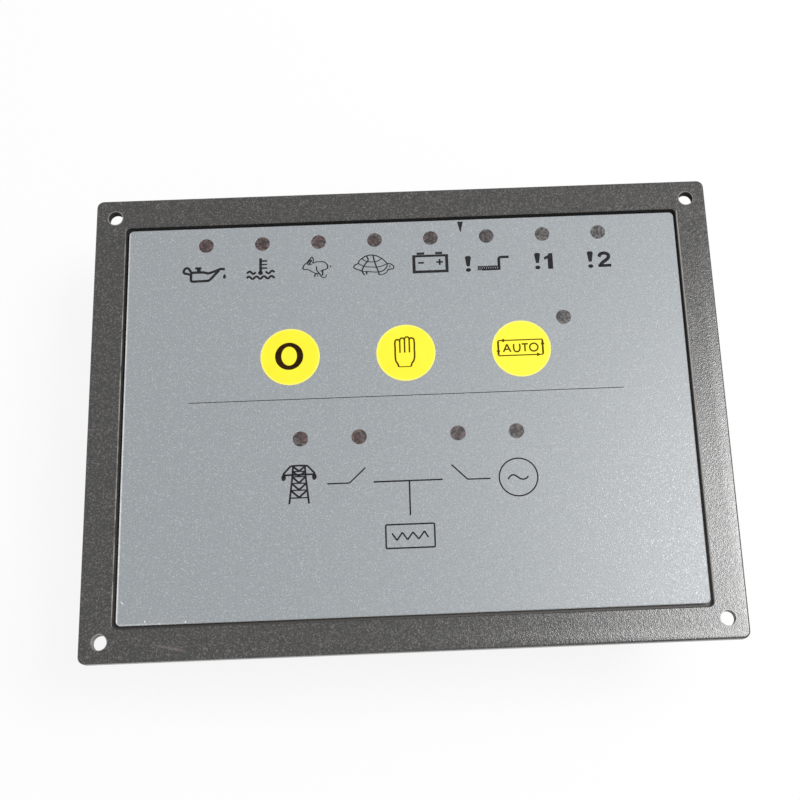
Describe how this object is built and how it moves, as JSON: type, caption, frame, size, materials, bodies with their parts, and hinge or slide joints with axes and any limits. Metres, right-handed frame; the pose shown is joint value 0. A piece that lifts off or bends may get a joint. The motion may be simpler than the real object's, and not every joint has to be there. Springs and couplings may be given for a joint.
{
  "type": "genset controller",
  "caption": "Flat panel-mounted genset controller: black flanged moulding, grey film with round lamp windows and yellow press keys, stepped rear case with plug-in terminals.",
  "frame": {"origin": "under the middle of the face, on the plane that the rear cover rests on", "axes": "+X to the right of the face, +Y up the face, +Z out of the face"},
  "size_m": [0.192, 0.144, 0.0502],
  "materials": {
    "bezel": "black moulded plastic with a fine texture",
    "cover": "black moulded plastic",
    "film": "silver grey printed film with a fine sparkle",
    "smoked_film": "smoked translucent print",
    "yellow_film": "yellow printed film",
    "ivory_plastic": "natural moulded plastic",
    "switch_body": "black switch housing",
    "red_lamp": "red tinted lamp",
    "green_lamp": "green tinted lamp",
    "board": "green lacquered circuit board",
    "chip": "black moulded component",
    "plated_steel": "zinc plated steel",
    "brass": "brass",
    "relay_case": "orange relay case",
    "blue_sleeve": "blue sleeve",
    "winding": "enamelled wire",
    "green_plug": "green moulded terminal"
  },
  "bodies": {
    "housing": {"bezel": "bezel", "overlay": "film", "lamp_windows": "smoked_film", "fault_lamps": "red_lamp", "auto_lamp": "red_lamp", "supply_lamps": "green_lamp", "lamp_spacers": "ivory_plastic", "display_board": "board", "processor": "chip", "crystal": "plated_steel", "memory_chip": "chip", "link_header": "chip", "link_socket": "chip", "board_spacers": "brass", "board_screws": "plated_steel", "power_board": "board", "relays": "relay_case", "capacitors": "blue_sleeve", "choke": "winding", "surge_discs": "blue_sleeve", "header_pins": "brass", "terminal_screws": "plated_steel", "config_socket": "ivory_plastic", "config_pins": "brass", "rear_cover": "cover", "cover_screws": "plated_steel", "stop_switch": "switch_body", "manual_switch": "switch_body", "auto_switch": "switch_body", "control_header": "green_plug", "control_plug": "green_plug", "input_header": "green_plug", "input_plug": "green_plug", "mains_header": "green_plug", "mains_plug": "green_plug", "contactor_header": "green_plug", "contactor_plug": "green_plug", "generator_header": "green_plug", "generator_plug": "green_plug"},
    "stop_button": {"stop_key": "yellow_film", "stop_plunger": "ivory_plastic", "stop_switch_stem": "chip"},
    "manual_button": {"manual_key": "yellow_film", "manual_plunger": "ivory_plastic", "manual_switch_stem": "chip"},
    "auto_button": {"auto_key": "yellow_film", "auto_plunger": "ivory_plastic", "auto_switch_stem": "chip"}
  },
  "joints": [
    {"name": "stop_press", "type": "slide", "parent": "housing", "child": "stop_button", "axis": [0, 0, -1], "range_m": [0, 0.0004], "stiffness_N_per_m": 2000, "springref_m": -0.0002},
    {"name": "manual_press", "type": "slide", "parent": "housing", "child": "manual_button", "axis": [0, 0, -1], "range_m": [0, 0.0004], "stiffness_N_per_m": 2000, "springref_m": -0.0002},
    {"name": "auto_press", "type": "slide", "parent": "housing", "child": "auto_button", "axis": [0, 0, -1], "range_m": [0, 0.0004], "stiffness_N_per_m": 2000, "springref_m": -0.0002}
  ]
}
